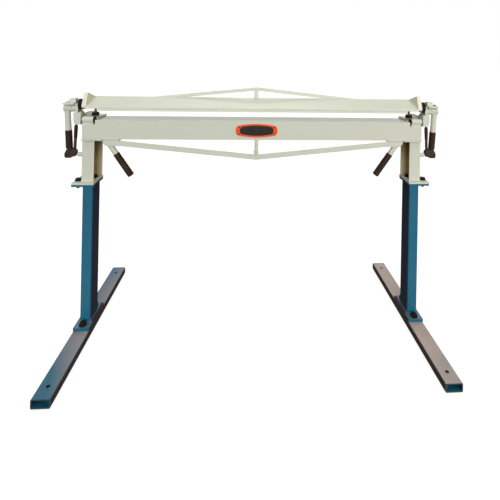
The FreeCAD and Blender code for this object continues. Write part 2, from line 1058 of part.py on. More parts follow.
def rounded_along_bottom(cheek):
    corners = [
        edge
        for edge in edges_along(cheek, vector(0, 1, 0))
        if edge.CenterOfMass.z < cheek_bottom + latch_plate_thickness
    ]
    return cheek.makeFillet(cheek_corner, corners)


def link(start, end, radius):
    """Flat link with round ends, across the trigger's thickness."""
    y0 = shaft_place - trigger_thickness / 2
    y1 = shaft_place + trigger_thickness / 2
    run = math.atan2(end[1] - start[1], end[0] - start[0])
    side = (-math.sin(run) * radius, math.cos(run) * radius)
    outline = [
        (start[0] + side[0], start[1] + side[1]),
        (end[0] + side[0], end[1] + side[1]),
        (end[0] - side[0], end[1] - side[1]),
        (start[0] - side[0], start[1] - side[1]),
    ]
    return joined(
        front_profile(outline, y0, y1),
        front_rod(2 * radius, start[0], start[1], y0, y1),
        front_rod(2 * radius, end[0], end[1], y0, y1),
    )


def trigger():
    """Lobed catch on its pivot, with a finger bar that stands up beside the grip."""
    pivot = (trigger_pivot_x, trigger_pivot_z)
    lobe = (trigger_lobe_x, trigger_lobe_z)
    inner_bump = (trigger_lobe_x, trigger_lobe_z - trigger_reach / 2)
    outer_bump = (trigger_pivot_x - trigger_reach / 2, trigger_pivot_z - trigger_bump)
    foot = vector(trigger_lobe_x + trigger_bar_inset, shaft_place, trigger_lobe_z)
    tip = foot + vector(-trigger_bar_lean, 0, trigger_bar_length)
    return joined(
        link(pivot, lobe, trigger_lobe),
        link(lobe, inner_bump, trigger_bump),
        link(pivot, outer_bump, trigger_bump),
        rod(trigger_bar, foot, tip),
        Part.makeSphere(trigger_bar / 2, tip),
    ).cut(
        front_rod(
            trigger_pivot_pin + 2 * running_clearance, trigger_pivot_x, trigger_pivot_z,
            shaft_place - trigger_thickness, shaft_place + trigger_thickness,
        )
    )


os.makedirs("parts", exist_ok=True)

save_pair("foot", foot())
save_pair("base_plate", base_plate())
save_both("base_bolts", base_bolts())
save_pair("post", post())
save_pair("lower_joint_plate", joint_plate(post_top))
save_pair("upper_joint_plate", joint_plate(joint_face))
save_both("joint_bolts", joint_bolts())
save_pair("head_channel", head_channel())
save_both("keeper_pins", keeper_pin())
save_pair("top_plate", top_plate())
save("bed_beam", bed_beam())
save("bed_plate", bed_plate())
save_pair("lug_plate", lug_plate())
save_both("guide_bushes", guide_bush())
save_pair("side_bracket", side_bracket())
save_both("hinge_pins", hinge_pins())

save("apron_plate", apron_plate())
save_pair("hinge_barrel", hinge_barrel_piece())
save_pair("apron_lug", apron_lug())
save_pair("apron_truss", apron_truss())
save("apron_strut", apron_strut())
save_pair("handle_tube", handle_tube_piece())
save_pair("handle_grip", handle_grip_piece())
save("nameplate", nameplate())
save("nameplate_rivets", nameplate_rivets())

save("clamp_leaf", clamp_leaf())
save("nose_bar", nose_bar())
save_pair("end_plate", end_plate())
save_both("guide_pins", guide_pins())
save_pair("clamp_truss", clamp_truss())
save("clamp_strut", clamp_strut())

save_pair("cam_shaft", cam_shaft())
save_pair("clamp_lever", lever_piece())
save_pair("lever_grip", lever_grip_piece())
save_pair("stop_plate", stop_plate())
save_pair("latch_bracket", latch_bracket())
save_pair("trigger", trigger())
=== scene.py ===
"""The looks of a manual sheet metal brake: painted steel, black fittings and rubber grips."""
import json
import math

import bmesh
import bpy
from mathutils import Matrix, Vector


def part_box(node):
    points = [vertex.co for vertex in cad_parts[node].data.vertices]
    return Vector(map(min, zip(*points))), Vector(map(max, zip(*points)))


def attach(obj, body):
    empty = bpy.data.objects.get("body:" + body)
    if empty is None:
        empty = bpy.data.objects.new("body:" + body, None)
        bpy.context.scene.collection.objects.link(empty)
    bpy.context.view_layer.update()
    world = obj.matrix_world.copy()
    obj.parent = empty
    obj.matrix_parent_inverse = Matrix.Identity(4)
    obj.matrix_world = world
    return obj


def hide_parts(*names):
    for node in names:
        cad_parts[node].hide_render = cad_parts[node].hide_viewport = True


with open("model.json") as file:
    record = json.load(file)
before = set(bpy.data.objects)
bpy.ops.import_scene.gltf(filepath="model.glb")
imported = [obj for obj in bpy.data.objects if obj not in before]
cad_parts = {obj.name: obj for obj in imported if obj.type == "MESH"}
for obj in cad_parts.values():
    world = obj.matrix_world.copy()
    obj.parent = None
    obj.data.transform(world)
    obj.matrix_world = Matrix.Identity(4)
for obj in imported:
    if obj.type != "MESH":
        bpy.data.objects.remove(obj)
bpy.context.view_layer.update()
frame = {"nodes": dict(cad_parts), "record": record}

# Photograph's camera, in metres, degrees and pixels of the 500 pixel frame
CAMERA_PLACE = Vector((-0.046, -1.670, 1.093))
CAMERA_TURN = -3.98
CAMERA_ROLL = 1.08
FOCAL_PIXELS = 407.4
FRAME_PIXELS = 500
AXIS_PIXEL = (274.7, 54.5)
SENSOR_WIDTH = 36.0

# Edge softening: distances in metres, angles in radians
MERGE_DISTANCE = 0.00002
FLAT_ANGLE = math.radians(0.5)
SHARP_ANGLE = math.radians(30)
CREASE_ANGLE = math.radians(55)
PLATE_EDGE = 0.0009
THIN_EDGE = 0.0004
CAST_EDGE = 0.0012

# The two sides, with their signs across the machine
SIDES = (("left", -1), ("right", 1))

# Places on the machine, in metres and radians; pairs are (across, up)
FOOT_X = 0.652
POST_INNER = 0.632
POST_FRONT = 0.040
CHANNEL_MOUTH = 0.632
BED_TOP = 0.829
SHAFT = Vector((0, -0.012, 0.867))
STOP_SCREW = (0.746, SHAFT.z + 0.023)
STOP_WASHER = {"radius": 0.0055, "height": 0.001}
STOP_HEAD = {"flats": 0.008, "height": 0.0035}
CATCH_SLOPE = (0.7465, 0.6985)
CATCH_SLOPE_FACING = (0.88, 0.47)
CATCH_PIN = (0.7435, 0.682)
CATCH_BOSS = (0.7205, 0.6925)
TRIGGER_FOOT = (0.714, 0.698)
TRIGGER_TIP = (0.7105, 0.795)
SLEEVE_REACH = 0.046
HANDLE_LEAN = math.radians(35)
NOSE_GRIND = 0.0068

# Bolts: places are (across, along); low and high are the faces that they clamp
BASE_BOLT_PLACES = ((FOOT_X, 0.062), (FOOT_X, -0.062))
BASE_BOLT = {"diameter": 0.014, "flats": 0.022, "low": 0.026, "high": 0.042}
JOINT_BOLT_PLACES = ((0.695, -0.022), (0.648, 0.022))
JOINT_BOLT = {"diameter": 0.012, "flats": 0.019, "low": 0.568, "high": 0.584}
HEAD_SHARE = 0.4
WASHER_SHARE = 1.27
WASHER_THICKNESS = 0.0025
THREAD_PITCH = 0.00175
THREAD_DEPTH = 0.0009
THREAD_TURNS = 3
SHANK_TIP = (0.0012, 0.0008)

# Small fittings: profiles are (radius, height) pairs
GRIP_LENGTH = 0.104
GRIP_RADIUS = 0.013
GRIP_BORE = 0.0106
BADGE_RIM = 0.0065
BADGE_END = 0.016
BADGE_STEP = 0.0006
COLLAR_RADIUS = 0.012
COLLAR_PROFILE = (
    (0, 0.0003), (COLLAR_RADIUS - 0.001, 0.0003), (COLLAR_RADIUS, 0.0013), (COLLAR_RADIUS, 0.0050),
    (COLLAR_RADIUS - 0.001, 0.0060), (0.0072, 0.0060), (0.0066, 0.0070), (0, 0.0072),
)
PIN_END_PROFILE = ((0, 0.0022), (0.0025, 0.0018), (0.0042, 0.0007), (0.0046, 0), (0, 0))
BOSS_PROFILE = (
    (0, 0.0030), (0.0060, 0.0030), (0.0070, 0.0038), (0.0105, 0.0036), (0.0138, 0.0026),
    (0.0158, 0.0008), (0.0165, -0.0010), (0.0165, -0.0024), (0, -0.0024),
)
SLEEVE_PROFILE = (
    (0, 0), (0.0060, 0), (0.0066, 0.0006), (0.0066, 0.0030), (0.0062, 0.0040), (0.0069, 0.0220),
    (0.0071, 0.0400), (0.0067, 0.0470), (0.0054, 0.0510), (0.0030, 0.0532), (0, 0.0538),
)

# Weld beads: the ripples swell and shrink by turns and taper at both ends
BEAD_RADIUS = 0.0026
BEAD_PITCH = 0.0035
BEAD_TAPER = 0.6
BEAD_SWELLS = (0.86, 1.08)

# Where beads run, in metres: places, lengths and insets from the box of the node they follow
BEAD_INSET = 0.002
TOP_PLATE_PROUD = 0.0008
SIDE_PLATE_X = 0.700
SIDE_PLATE_RUN = (0.003, 0.042)
SIDE_PLATE_DROP = 0.001
LEAF_FRONT_INSET = (0.006, 0.029)
LEAF_BACK_INSET = (0.004, 0.001)
TRUSS_END_HEIGHT = 0.013
TRUSS_RUN = 0.09
TRUSS_RISE = 0.009
LUG_DEPTH = 0.012
BARREL_INSET = 0.005

# How the dust and grey painted sheen on a foot's top thin out towards its outer side and its ends: the
# first three are per metre, the others are shares
FILM_OUTWARD = 8.0
FILM_FORWARD = 3.2
FILM_BACKWARD = 1.2
FILM_FORWARD_FROM = 0.35
FILM_DRIFTS = 0.3
FILM_SPAN = 0.9
FILM_LOSS = 0.92

# Heights over which the painted shade deepens towards the top of the channel insides, in metres
TOP_SHADE_FROM = 0.64
TOP_SHADE_FULL = 0.725

# Half the floor's side and its height, in metres
FLOOR_REACH = 60
FLOOR_HEIGHT = -0.0005

BODY_OF = {
    node: body
    for body, members in frame["record"]["behaviour"]["bodies"].items()
    for node in members
}
SLOT_OF = {row["node"]: row["material_slot"] for row in frame["record"]["subparts"]}


def both(name):
    return (name + "_left", name + "_right")


# Shader helpers

def fill(tree, socket, value):
    """Links another socket to this one, or sets it; a colour is three numbers."""
    if isinstance(value, bpy.types.NodeSocket):
        tree.links.new(value, socket)
    elif socket.type == "RGBA":
        socket.default_value = (*value, 1)
    else:
        socket.default_value = value


def add(tree, kind, inputs=None, **settings):
    """Adds a node, sets its properties, then links or sets its inputs."""
    made = tree.nodes.new(kind)
    for key, value in settings.items():
        setattr(made, key, value)
    for key, value in (inputs or {}).items():
        fill(tree, made.inputs[key], value)
    return made


def feed(tree, sockets, values):
    """Links each value to the socket with its name."""
    for label, value in values.items():
        tree.links.new(value, sockets[label])


def new_group(name, inputs, outputs):
    """An empty node group, with the sockets that its inside reads and fills."""
    group = bpy.data.node_groups.new(name, "ShaderNodeTree")
    for label, value in inputs.items():
        coloured = isinstance(value, tuple)
        kind = "NodeSocketColor" if coloured else "NodeSocketFloat"
        socket = group.interface.new_socket(label, in_out="INPUT", socket_type=kind)
        socket.default_value = (*value, 1) if coloured else value
    for label in outputs:
        kind = "NodeSocketColor" if label == "Colour" else "NodeSocketFloat"
        group.interface.new_socket(label, in_out="OUTPUT", socket_type=kind)
    return group, group.nodes.new("NodeGroupInput").outputs, group.nodes.new("NodeGroupOutput").inputs


def noise(tree, place, scale, detail=2.0, roughness=0.5):
    return add(
        tree, "ShaderNodeTexNoise",
        {"Vector": place, "Scale": scale, "Detail": detail, "Roughness": roughness},
    ).outputs["Fac"]


def ramp(tree, value, low, high):
    """Maps low..high to 0..1, clamped."""
    return add(
        tree, "ShaderNodeMapRange", {"Value": value, "From Min": low, "From Max": high}, clamp=True
    ).outputs["Result"]


def math_of(tree, operation, first, second=0.0):
    return add(tree, "ShaderNodeMath", {0: first, 1: second}, operation=operation).outputs[0]


def times(tree, first, second):
    return math_of(tree, "MULTIPLY", first, second)


def plus(tree, first, second):
    return math_of(tree, "ADD", first, second)


def minus(tree, first, second):
    return math_of(tree, "SUBTRACT", first, second)


def between(tree, mask, low, high):
    """Turns a mask of 0..1 into low..high."""
    return plus(tree, times(tree, mask, high - low), low)


def mix_colour(tree, share, first, second):
    node = add(tree, "ShaderNodeMix", data_type="RGBA")
    for index, value in ((0, share), (6, first), (7, second)):
        fill(tree, node.inputs[index], value)
    return node.outputs[2]


def bumps(tree, height, strength, distance):
    """A normal that follows a height."""
    return add(
        tree, "ShaderNodeBump", {"Strength": strength, "Distance": distance, "Height": height}
    ).outputs["Normal"]


def object_place(tree):
    return tree.nodes.new("ShaderNodeTexCoord").outputs["Object"]


def axes(tree, vector):
    return add(tree, "ShaderNodeSeparateXYZ", {"Vector": vector}).outputs


def facing(tree):
    """The way a surface looks, on the object's axes."""
    return axes(tree, tree.nodes.new("ShaderNodeTexCoord").outputs["Normal"])


# Shader groups

def worn_edge_group():
    """Patchy mask over the softened edges."""
    group, given, out = new_group("worn edge", {"Patch Scale": 90.0, "Amount": 0.5}, ["Mask"])
    edge = add(group, "ShaderNodeAttribute", attribute_name="worn").outputs["Fac"]
    patches = ramp(group, noise(group, object_place(group), given["Patch Scale"], 3), 0.42, 0.62)
    feed(group, out, {"Mask": times(group, times(group, edge, patches), given["Amount"])})
    return group


def dust_and_sheen_group():
    """Soft mask on the faces that look up, thicker in drifts: settled dust, and on the feet a grey
    painted sheen; Unevenness thins it along a foot.
    """
    group, given, out = new_group(
        "settled dust",
        {"Drift Scale": 9.0, "Amount": 0.5, "Lowest": -1.0, "Unevenness": 0.0},
        ["Mask"],
    )
    upward = ramp(group, facing(group)["Z"], 0.55, 0.98)
    place = object_place(group)
    spot = axes(group, place)
    drifts = ramp(group, noise(group, place, given["Drift Scale"], 5, 0.6), 0.25, 0.75)
    grains = ramp(group, noise(group, place, 700.0, 2), 0.2, 0.8)
    film = times(group, between(group, drifts, 0.65, 1.0), upward)
    film = times(group, film, between(group, grains, 0.8, 1.0))
    film = times(group, film, math_of(group, "GREATER_THAN", spot["Z"], given["Lowest"]))

    outward = times(group, minus(group, math_of(group, "ABSOLUTE", spot["X"]), FOOT_X), FILM_OUTWARD)
    forward = minus(group, times(group, spot["Y"], -FILM_FORWARD), FILM_FORWARD_FROM)
    along = math_of(group, "MAXIMUM", forward, times(group, spot["Y"], FILM_BACKWARD))
    bare = plus(group, plus(group, outward, along), times(group, drifts, FILM_DRIFTS))
    thin = times(group, ramp(group, bare, 0.0, FILM_SPAN), FILM_LOSS)
    film = times(group, film, minus(group, 1.0, times(group, thin, given["Unevenness"])))
    feed(group, out, {"Mask": times(group, film, given["Amount"])})
    return group


def gloss_group():
    """Gloss on the faces that look up, forward or back; the end faces are left dull."""
    group, given, out = new_group("gloss by facing", {"Amount": 0.5}, ["Mask"])
    looks_to = facing(group)
    ends = ramp(group, math_of(group, "ABSOLUTE", looks_to["X"]), 0.15, 0.75)
    level = between(group, ramp(group, looks_to["Z"], 0.3, 0.95), 0.25, 1.0)
    smears = ramp(group, noise(group, object_place(group), 18.0, 5, 0.65), 0.2, 0.6)
    gloss = times(group, minus(group, 1.0, ends), level)
    gloss = times(group, gloss, between(group, smears, 0.7, 1.0))
    feed(group, out, {"Mask": times(group, gloss, given["Amount"])})
    return group


def enamel_group(worn, dust):
    """Brushed-on machine enamel: mottled colour, painted shade in dark patches on the upright faces
    (scuffs), painted shade towards the top, dust with painted sheen, worn edges lightened as a painted
    highlight, and orange peel.
    """
    group, given, out = new_group(
        "machine enamel",
        {
            "Colour": (0.6, 0.6, 0.6), "Deep Colour": (0.5, 0.5, 0.5),
            "Dust Colour": (0.4, 0.38, 0.34), "Worn And Highlight Colour": (0.7, 0.7, 0.6),
            "Dust": 0.3, "Dust Lowest": -1.0, "Dust Unevenness": 0.0,
            "Scuffs": 0.0, "Grime": 0.0, "Wear": 0.5, "Gloss Loss": 0.35,
        },
        ["Colour", "Roughness", "Metallic", "Height"],
    )
    place = object_place(group)
    clouds = ramp(group, noise(group, place, 5.0, 4, 0.55), 0.3, 0.7)
    specks = ramp(group, noise(group, place, 260.0, 3, 0.7), 0.6, 0.78)
    peel = noise(group, place, 420.0, 2)
    smears = noise(group, place, 24.0, 5, 0.65)
    # Settled dust; on the feet the same mask is a grey painted sheen
    dust_and_sheen_mask = add(group, "ShaderNodeGroup", {
        "Amount": given["Dust"], "Lowest": given["Dust Lowest"], "Unevenness": given["Dust Unevenness"],
    }, node_tree=dust).outputs["Mask"]
    # Worn edges, in a worn colour lighter than the paint: worn paint and a painted edge highlight
    worn_and_highlit = add(group, "ShaderNodeGroup", {"Amount": given["Wear"]}, node_tree=worn).outputs["Mask"]
    upright = minus(group, 1.0, math_of(group, "ABSOLUTE", facing(group)["Z"]))
    # Painted shade on the upright faces, dark brown in smeared patches (the scuffs input); only the
    # feet use it
    painted_side_shade_mask = times(group, times(group, between(group, smears, 0.5, 1.0), upright), given["Scuffs"])
    # Painted shade: dark brown that deepens towards the top, used on the channel insides
    painted_top_shade_mask = times(group, ramp(group, axes(group, place)["Z"], TOP_SHADE_FROM, TOP_SHADE_FULL), given["Grime"])

    tone = mix_colour(group, clouds, given["Colour"], given["Deep Colour"])
    for share, layer in (
        (times(group, specks, 0.25), given["Dust Colour"]), (painted_side_shade_mask, (0.050, 0.036, 0.032)),
        (painted_top_shade_mask, (0.07, 0.035, 0.012)), (dust_and_sheen_mask, given["Dust Colour"]), (worn_and_highlit, given["Worn And Highlight Colour"]),
    ):
        tone = mix_colour(group, share, tone, layer)
    rough = plus(group, given["Gloss Loss"], times(group, smears, 0.12))
    height = plus(group, times(group, peel, 0.6), times(group, smears, 0.5))
    feed(group, out, {
        "Colour": tone, "Roughness": plus(group, rough, times(group, dust_and_sheen_mask, 0.25)),
        "Metallic": times(group, worn_and_highlit, 0.35),
        "Height": minus(group, height, times(group, worn_and_highlit, 0.5)),
    })
    return group


WORN_EDGE = worn_edge_group()
DUST_AND_SHEEN = dust_and_sheen_group()
GLOSS = gloss_group()
ENAMEL = enamel_group(WORN_EDGE, DUST_AND_SHEEN)


# Materials

def new_material(name):
    material = bpy.data.materials.new(name)
    material.use_nodes = True
    return material, material.node_tree, material.node_tree.nodes["Principled BSDF"].inputs


def enamel(name, gloss, gloss_bend, gloss_blur, **layers):
    """Painted steel; the layers go by the names of the enamel group's inputs."""
    material, tree, shader = new_material(name)
    layers = {label.replace("_", " ").title(): value for label, value in layers.items()}
    coat = add(tree, "ShaderNodeGroup", layers, node_tree=ENAMEL).outputs
    shader["Specular IOR Level"].default_value = 0.0
    shader["Coat Roughness"].default_value = gloss_blur
    shader["Coat IOR"].default_value = gloss_bend
    feed(tree, shader, {
        "Coat Weight": add(tree, "ShaderNodeGroup", {"Amount": gloss}, node_tree=GLOSS).outputs["Mask"],
        "Base Color": coat["Colour"], "Roughness": coat["Roughness"], "Metallic": coat["Metallic"],
        "Normal": bumps(tree, coat["Height"], 0.35, 0.0002),
    })
    return material


def rubbed_edges(tree, amount):
    return add(tree, "ShaderNodeGroup", {"Amount": amount}, node_tree=WORN_EDGE).outputs["Mask"]


def steel(name, colour, stain, roughness, metallic, grain_scale, shine=0.5):
    """Bare or blackened steel with turning marks, handling stains and rubbed edges."""
    material, tree, shader = new_material(name)
    place = object_place(tree)
    stains = ramp(tree, noise(tree, place, 35.0, 5, 0.65), 0.35, 0.7)
    grain = noise(tree, place, grain_scale, 3, 0.6)
    tone = mix_colour(tree, times(tree, stains, 0.6), colour, stain)
    shader["Metallic"].default_value = metallic
    shader["Specular IOR Level"].default_value = shine
    feed(tree, shader, {
        "Base Color": mix_colour(tree, rubbed_edges(tree, 0.8), tone, (0.16, 0.15, 0.14)),
        "Roughness": between(tree, grain, roughness, roughness + 0.2),
        "Normal": bumps(tree, grain, 0.4, 0.0001),
    })
    return material


def grip_rubber():
    """Dark brown-black moulded rubber, finely pebbled, greyed where it is handled."""
    material, tree, shader = new_material("grip rubber")
    place = object_place(tree)
    pebble = add(
        tree, "ShaderNodeTexVoronoi", {"Vector": place, "Scale": 900.0}, feature="SMOOTH_F1"
    ).outputs["Distance"]
    handled = ramp(tree, noise(tree, place, 40.0, 4, 0.6), 0.4, 0.75)
    shader["Specular IOR Level"].default_value = 0.12
    feed(tree, shader, {
        "Base Color": mix_colour(tree, handled, (0.023, 0.011, 0.006), (0.038, 0.020, 0.012)),
        "Roughness": between(tree, handled, 0.62, 0.46),
        "Normal": bumps(tree, pebble, 0.5, 0.00025),
    })
    return material


def black_catch():
    """Black painted casting with a grainy skin."""
    material, tree, shader = new_material("black catch paint")
    place = object_place(tree)
    skin = noise(tree, place, 500.0, 4, 0.7)
    patches = ramp(tree, noise(tree, place, 60.0, 3), 0.35, 0.7)
    tone = mix_colour(tree, patches, (0.026, 0.016, 0.011), (0.042, 0.028, 0.021))
    shader["Specular IOR Level"].default_value = 0.15
    feed(tree, shader, {
        "Base Color": mix_colour(tree, rubbed_edges(tree, 0.6), tone, (0.11, 0.09, 0.08)),
        "Roughness": between(tree, skin, 0.34, 0.54),
        "Normal": bumps(tree, skin, 0.5, 0.0003),
    })
    return material


def badge_enamel(name, colour, deep):
    """Stove enamel, faded in clouds and lightly scuffed."""
    material, tree, shader = new_material(name)
    place = object_place(tree)
    fade = ramp(tree, noise(tree, place, 30.0, 4, 0.6), 0.3, 0.75)
    scuffs = ramp(tree, noise(tree, place, 300.0, 2, 0.7), 0.62, 0.8)
    tone = mix_colour(tree, fade, colour, deep)
    shader["Specular IOR Level"].default_value = 0.15
    feed(tree, shader, {
        "Base Color": mix_colour(tree, times(tree, scuffs, 0.3), tone, (0.35, 0.3, 0.26)),
        "Roughness": between(tree, fade, 0.28, 0.43),
        "Normal": bumps(tree, scuffs, 0.2, 0.0001),
    })
    return material


# The cream's worn colour is lighter and yellower: worn paint and a painted edge highlight
CREAM = {
    "colour": (0.600, 0.655, 0.590), "deep_colour": (0.575, 0.627, 0.560),
    "dust_colour": (0.50, 0.48, 0.40), "worn_and_highlight_colour": (0.74, 0.72, 0.56),
    "dust": 0.18, "wear": 0.5, "gloss_loss": 0.4,
    "gloss": 0.42, "gloss_bend": 1.5, "gloss_blur": 0.3,
}
BLUE = {
    "colour": (0.016, 0.145, 0.250), "deep_colour": (0.013, 0.124, 0.216),
    "dust_colour": (0.26, 0.24, 0.25), "worn_and_highlight_colour": (0.10, 0.19, 0.25),
    "dust": 0.35, "wear": 0.5, "gloss_loss": 0.3,
    "gloss": 0.9, "gloss_bend": 1.6, "gloss_blur": 0.12,
}
# Feet: dust with a grey painted sheen on the tops above the floor, and painted shade in dark patches
# (scuffs) on the upright faces
FOOT_BLUE = {
    **BLUE, "dust": 1.0, "dust_lowest": 0.025, "scuffs": 0.75, "gloss_bend": 1.8, "gloss_blur": 0.1,
}
MATERIALS = {
    "cream_paint": enamel("cream enamel", **CREAM),
    "blue_paint": enamel("blue enamel", **BLUE),
    "black_steel": steel(
        "black oxide steel", (0.013, 0.010, 0.008), (0.024, 0.016, 0.011), 0.36, 0.0, 700.0, 0.05
    ),
    "bright_steel": steel("ground steel", (0.52, 0.51, 0.49), (0.36, 0.33, 0.29), 0.24, 1.0, 500.0),
    "black_grip": grip_rubber(),
    "black_catch": black_catch(),
    "badge": badge_enamel("orange badge enamel", (0.80, 0.095, 0.012), (0.72, 0.08, 0.010)),
}
# Bed plate and lug plates: glossier, and painted lighter than the cream as painted light under the
# clamp beam
POLISHED_LIT_CREAM = enamel("polished cream enamel with painted light", **{
    **CREAM, "colour": (0.71, 0.79, 0.65), "deep_colour": (0.68, 0.76, 0.62),
    "gloss": 1.0, "gloss_blur": 0.2,
})
# Channel insides: a warmer cream as painted warm shade, darkened towards the top as painted shade
CHANNEL_SHADE_CREAM = enamel("cream enamel with painted channel shade", **{
    **CREAM, "colour": (0.79, 0.715, 0.48), "deep_colour": (0.76, 0.685, 0.45),
    "grime": 0.7, "gloss": 0.2, "gloss_blur": 0.5,
})
# End plates: painted lighter than the cream, as painted light on their inner faces
PAINTED_LIGHT_CREAM = enamel("cream enamel with painted light", **{
    **CREAM, "colour": (0.755, 0.78, 0.685), "deep_colour": (0.725, 0.75, 0.655),
})
# Right foot: dust with a warm painted sheen
FOOT_WARM_SHEEN_BLUE = enamel("blue enamel with dust and warm painted sheen", **{
    **FOOT_BLUE, "dust_colour": (0.62, 0.465, 0.395), "dust_unevenness": 0.3, "gloss": 0.5,
})
# Left foot: dust with a grey painted sheen that thins right out along the foot, leaving the blue bare
# as painted reflection
FOOT_THIN_SHEEN_BLUE = enamel("blue enamel with dust and thinning painted sheen", **{
    **FOOT_BLUE, "dust_colour": (0.445, 0.375, 0.405), "dust_unevenness": 1.0, "gloss": 0.2,
})
# Inner sides of the posts: darker blue as painted shade
POST_SIDE_SHADE_BLUE = enamel("blue enamel with painted post side shade", **{
    **BLUE, "colour": (0.050, 0.075, 0.135), "deep_colour": (0.042, 0.063, 0.115),
})
# Inner sides of the feet and base plates: dark brownish blue as painted shade
FOOT_SIDE_SHADE_BLUE = enamel("blue enamel with painted foot side shade", **{
    **BLUE, "colour": (0.100, 0.085, 0.092), "deep_colour": (0.082, 0.070, 0.076),
    "dust_colour": (0.26, 0.22, 0.20), "gloss": 0.5, "gloss_bend": 1.8,
})
# Base plate strip beside and behind each post: near black blue as a painted shadow of the post
POST_SHADOW_BLUE = enamel("blue enamel with painted post shadow", **{
    **BLUE, "colour": (0.045, 0.048, 0.070), "deep_colour": (0.038, 0.040, 0.060),
    "dust_colour": (0.26, 0.22, 0.20), "dust": 0.0, "gloss": 0.15,
})
OILED_STEEL = steel("oiled steel", (0.16, 0.10, 0.07), (0.06, 0.035, 0.02), 0.3, 0.8, 500.0, 0.2)
BADGE_FIELD = badge_enamel("black badge enamel", (0.005, 0.005, 0.005), (0.009, 0.008, 0.007))

# Feet carry dust with painted sheen; the bed plate, lug plates and end plates are painted lighter as
# painted light
LOOK_OF = {
    "foot_left": FOOT_THIN_SHEEN_BLUE, "foot_right": FOOT_WARM_SHEEN_BLUE, "guide_pins": OILED_STEEL,
    "nameplate_rivets": MATERIALS["black_steel"], "bed_plate": POLISHED_LIT_CREAM,
    **dict.fromkeys(both("lug_plate"), POLISHED_LIT_CREAM), **dict.fromkeys(both("end_plate"), PAINTED_LIGHT_CREAM),
}

for name, piece in frame["nodes"].items():
    piece.data.materials.clear()
    piece.data.materials.append(LOOK_OF.get(name, MATERIALS[SLOT_OF[name]]))


# Making pieces

def new_piece(name, bm, body, slot, replaced=(), looks=()):
    """Turns a finished bmesh into a piece that rides on a body."""
    mesh = bpy.data.meshes.new(name)
    for face in bm.faces:
        face.smooth = True
    bm.to_mesh(mesh)
    bm.free()
    for material in looks or (MATERIALS[slot],):
        mesh.materials.append(material)
    mesh.set_sharp_from_angle(angle=CREASE_ANGLE)
    piece = bpy.data.objects.new(name, mesh)
    bpy.context.scene.collection.objects.link(piece)
    even = piece.modifiers.new("flat faces stay flat", "WEIGHTED_NORMAL")
    even.keep_sharp = True
    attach(piece, body)
    if replaced:
        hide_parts(*replaced)


def node_mesh(name):
    """A CAD node's mesh with its seams closed and its flat faces whole."""
    bm = bmesh.new()
    bm.from_mesh(frame["nodes"][name].data)
    bmesh.ops.remove_doubles(bm, verts=bm.verts[:], dist=MERGE_DISTANCE)
    bmesh.ops.dissolve_limit(
        bm, angle_limit=FLAT_ANGLE, verts=bm.verts[:], edges=bm.edges[:], use_dissolve_boundaries=False
    )
    return bm


def merge_into(bm, other):
    mesh = bpy.data.meshes.new("joining")
    other.to_mesh(mesh)
    other.free()
    bm.from_mesh(mesh)
    bpy.data.meshes.remove(mesh)


def inner_and_outer(node, sign):
    """A node's two ends across the machine; sign is -1 on the left and 1 on the right."""
    lowest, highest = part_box(node)
    return (lowest[0], highest[0]) if sign > 0 else (highest[0], lowest[0])


def middle_of(node):
    """The middle of a node's box."""
    lowest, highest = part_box(node)
    return (Vector(lowest) + Vector(highest)) / 2


def turned_to(run):
    """The turn that lays the Z axis along a direction."""
    return run.to_track_quat("Z", "Y").to_matrix().to_4x4()


def rounded(bm, edges, width):
    return bmesh.ops.bevel(
        bm, geom=edges, offset=width, affect="EDGES", segments=2, profile=0.5, material=-1
    )


def soften(bm, edge):
    """Rounds the sharp edges and marks them for wear."""
    worn = bm.faces.layers.float.new("worn")
    sharp = [line for line in bm.edges if line.is_manifold and line.calc_face_angle() > SHARP_ANGLE]
    cut = bmesh.ops.bevel(
        bm, geom=sharp, offset=edge, offset_type="OFFSET", affect="EDGES", segments=2,
        profile=0.5, material=-1, clamp_overlap=True,
    )
    for face in cut["faces"]:
        face[worn] = 1.0


def sliced(bm, point, across, clear_outer=False):
    """Cuts the mesh along a plane and returns what lies on the cut."""
    return bmesh.ops.bisect_plane(
        bm, geom=bm.verts[:] + bm.edges[:] + bm.faces[:], dist=MERGE_DISTANCE,
        plane_co=point, plane_no=across, clear_outer=clear_outer,
    )["geom_cut"]


def grind_nose(bm):
    """Grinds the leaf's upper front corner down to the slope of the nose bar."""
    front = min(vert.co.y for vert in bm.verts) + MERGE_DISTANCE
    corner = max(vert.co.z for vert in bm.verts if vert.co.y < front) - MERGE_DISTANCE
    at_corner = {vert for vert in bm.verts if vert.co.y < front and vert.co.z > corner}
    rounded(bm, [line for line in bm.edges if at_corner.issuperset(line.verts)], NOSE_GRIND)


def trim_catch(bm):
    """Slopes the outer upper corner of the catch's bracket."""
    side = math.copysign(1, bm.verts[:][0].co.x)
    cut = sliced(
        bm, (side * CATCH_SLOPE[0], 0, CATCH_SLOPE[1]),
        (side * CATCH_SLOPE_FACING[0], 0, CATCH_SLOPE_FACING[1]), clear_outer=True,
    )
    rims = [item for item in cut if isinstance(item, bmesh.types.BMEdge)]
    bmesh.ops.holes_fill(bm, edges=rims, sides=0)
    bmesh.ops.recalc_face_normals(bm, faces=bm.faces[:])


def looks_inward(face, middle):
    """True for a face that looks across, towards the middle of the machine."""
    return face.normal.x * middle.x < -0.5


def paint_channel(bm):
    """Gives a channel's inner faces the second paint, a warm painted shade."""
    for face in bm.faces:
        middle = face.calc_center_median()
        inside = face.normal.y * middle.y < -0.001 or looks_inward(face, middle)
        face.material_index = int(inside and abs(middle.x) > CHANNEL_MOUTH)


def paint_near_side(bm):
    """Gives a stand piece's side towards the other one the second paint, a darker painted shade."""
    for face in bm.faces:
        middle = face.calc_center_median()
        face.material_index = int(looks_inward(face, middle) and abs(middle.x) < FOOT_X)


